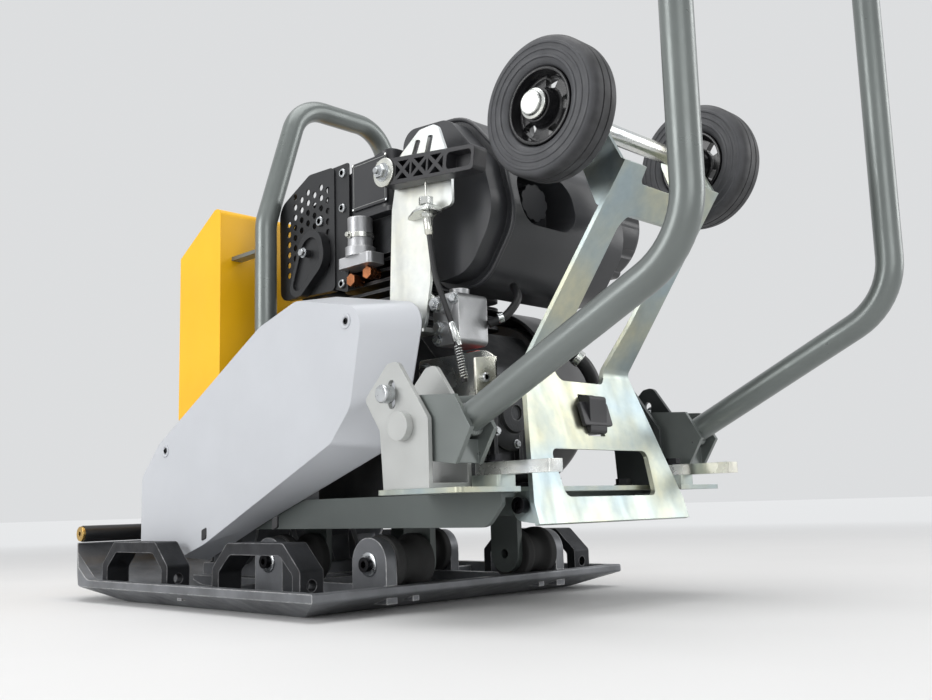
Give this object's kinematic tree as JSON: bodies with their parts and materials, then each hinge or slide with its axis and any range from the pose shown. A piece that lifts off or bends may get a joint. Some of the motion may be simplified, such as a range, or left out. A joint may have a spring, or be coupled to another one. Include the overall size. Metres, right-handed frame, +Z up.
{
  "type": "plate compactor",
  "caption": "Walk-behind vibrating plate compactor with belt-driven exciter, diesel engine, yellow water tank, folding handle and a tilting wheel carriage.",
  "frame": {"origin": "centre of the flat sole of the base plate, on the ground", "axes": "+Z up, -Y the direction of travel, +X the side of the belt guard, the machine's left"},
  "size_m": [0.5, 0.9855, 0.964],
  "materials": {
    "plate_iron": "shot-blasted cast surface, edges worn bright",
    "loop_iron": "cast, dark, machined side faces",
    "mount_rubber": "matt moulded rubber",
    "frame_paint": "grey-green powder coat, satin",
    "zinc": "zinc plated, bluish and yellowish passivation",
    "bracket_light": "light grey paint on folded sheet",
    "bracket_dark": "dark paint on folded sheet",
    "guard_plastic": "light grey moulded, fine grain",
    "tank_plastic": "yellow moulded tank, satin",
    "cap_red": "red moulded cap",
    "black_plastic": "black moulded plastic",
    "fuel_plastic": "black moulded tank, satin",
    "black_steel": "black heat-resistant paint",
    "black_bolt": "black oxide",
    "engine_alu": "die cast aluminium",
    "copper": "copper plated",
    "brass": "turned brass",
    "pulley_iron": "turned cast iron",
    "shaft_steel": "ground steel",
    "belt_rubber": "wrapped V-belt",
    "tyre": "solid rubber, grey side wall",
    "rim_plastic": "black moulded rim"
  },
  "bodies": {
    "base_unit": {"base_plate": "plate_iron", "carry_handles_left": "loop_iron", "carry_handles_right": "loop_iron", "exciter_housing": "plate_iron", "exciter_end_covers": "plate_iron", "exciter_bearings": "shaft_steel", "shock_mounts": "mount_rubber", "base_bolts": "zinc", "sprinkler_bar": "zinc", "sprinkler_plugs": "brass"},
    "console_unit": {"console_frame": "frame_paint", "crankcase": "engine_alu", "cylinder_head": "engine_alu", "rocker_cover": "black_steel", "fan_housing": "black_steel", "muffler": "black_steel", "muffler_guard": "black_steel", "exhaust_outlet": "black_steel", "fuel_tank": "fuel_plastic", "air_filter_housing": "black_plastic", "injection_pump": "engine_alu", "oil_filler_neck": "engine_alu", "copper_plugs": "copper", "control_bracket": "zinc", "throttle_cable": "mount_rubber", "cable_fittings": "zinc", "belt_guard": "guard_plastic", "water_tank": "tank_plastic", "lifting_frame": "frame_paint", "rear_cross_plate": "zinc", "stop_bars": "zinc", "handle_bracket_left": "bracket_light", "handle_bracket_right": "bracket_dark", "handle_pivots": "zinc", "console_bolts": "black_bolt", "drive_belt": "belt_rubber", "water_hose": "mount_rubber"},
    "exciter_rotor": {"exciter_shaft": "shaft_steel", "exciter_pulley": "pulley_iron"},
    "crank_train": {"crankshaft": "shaft_steel", "clutch_pulley": "pulley_iron", "flywheel": "pulley_iron"},
    "throttle": {"throttle_lever": "black_plastic"},
    "fuel_cap_body": {"fuel_cap": "fuel_plastic"},
    "water_cap_body": {"water_cap": "cap_red"},
    "tap": {"water_tap_lever": "brass"},
    "dipstick": {"oil_dipstick": "cap_red"},
    "starter_grip": {"recoil_grip": "black_plastic"},
    "handle_unit": {"handle": "frame_paint", "handle_bushes": "zinc"},
    "latch_left": {"handle_latch_left": "black_plastic"},
    "latch_right": {"handle_latch_right": "black_plastic"},
    "carriage": {"wheel_carriage": "zinc", "carriage_buffer": "mount_rubber", "wheel_axle": "zinc", "axle_caps": "zinc"},
    "wheel_left": {"wheel_rim_left": "rim_plastic", "tyre_left": "tyre"},
    "wheel_right": {"wheel_rim_right": "rim_plastic", "tyre_right": "tyre"}
  },
  "joints": [
    {"name": "console_float", "type": "slide", "parent": "base_unit", "child": "console_unit", "axis": [0, 0, 1], "range_m": [-0.003, 0.003], "stiffness_N_per_m": 400000, "springref_m": 0.00221, "deforming": ["shock_mounts", "drive_belt", "water_hose"]},
    {"name": "crank_spin", "type": "hinge", "parent": "console_unit", "child": "crank_train", "pos_m": [0, 0.182, 0.244], "axis": [1, 0, 0], "continuous": true},
    {"name": "exciter_spin", "type": "hinge", "parent": "base_unit", "child": "exciter_rotor", "pos_m": [0, -0.096, 0.1], "axis": [1, 0, 0], "continuous": true},
    {"name": "throttle_turn", "type": "hinge", "parent": "console_unit", "child": "throttle", "pos_m": [0.1355, 0.269, 0.476], "axis": [1, 0, 0], "range_deg": [-14, 34]},
    {"name": "fuel_cap_turn", "type": "hinge", "parent": "console_unit", "child": "fuel_cap_body", "pos_m": [0.006, 0.359, 0.446], "axis": [0, 1, 0], "range_deg": [0, 90]},
    {"name": "water_cap_turn", "type": "hinge", "parent": "console_unit", "child": "water_cap_body", "pos_m": [-0.04, -0.118, 0.483], "axis": [0, -0.5062, 0.8624], "range_deg": [0, 90]},
    {"name": "tap_turn", "type": "hinge", "parent": "console_unit", "child": "tap", "pos_m": [0.076, -0.176, 0.216], "axis": [0, 0, 1], "range_deg": [0, 90]},
    {"name": "dipstick_turn", "type": "hinge", "parent": "console_unit", "child": "dipstick", "pos_m": [0.054, 0.3, 0.264], "axis": [0, 1, 0], "range_deg": [0, 90]},
    {"name": "starter_pull", "type": "slide", "parent": "console_unit", "child": "starter_grip", "axis": [0, 0, 1], "range_m": [0, 0.5]},
    {"name": "handle_fold", "type": "hinge", "parent": "console_unit", "child": "handle_unit", "pos_m": [0, 0.371, 0.185], "axis": [1, 0, 0], "range_deg": [0, 60]},
    {"name": "latch_left_pull", "type": "slide", "parent": "console_unit", "child": "latch_left", "axis": [1, 0, 0], "range_m": [0, 0.012], "stiffness_N_per_m": 300},
    {"name": "latch_right_pull", "type": "slide", "parent": "console_unit", "child": "latch_right", "axis": [-1, 0, 0], "range_m": [0, 0.012], "stiffness_N_per_m": 300},
    {"name": "carriage_fold", "type": "hinge", "parent": "console_unit", "child": "carriage", "pos_m": [0, 0.438, 0.108], "axis": [1, 0, 0], "range_deg": [-85, 0]},
    {"name": "wheel_left_spin", "type": "hinge", "parent": "carriage", "child": "wheel_left", "pos_m": [0.132, 0.497, 0.484], "axis": [1, 0, 0], "continuous": true},
    {"name": "wheel_right_spin", "type": "hinge", "parent": "carriage", "child": "wheel_right", "pos_m": [-0.132, 0.497, 0.484], "axis": [1, 0, 0], "continuous": true}
  ],
  "couplings": [
    {"joint": "exciter_spin", "follows": "crank_spin", "ratio": 1.7714}
  ]
}
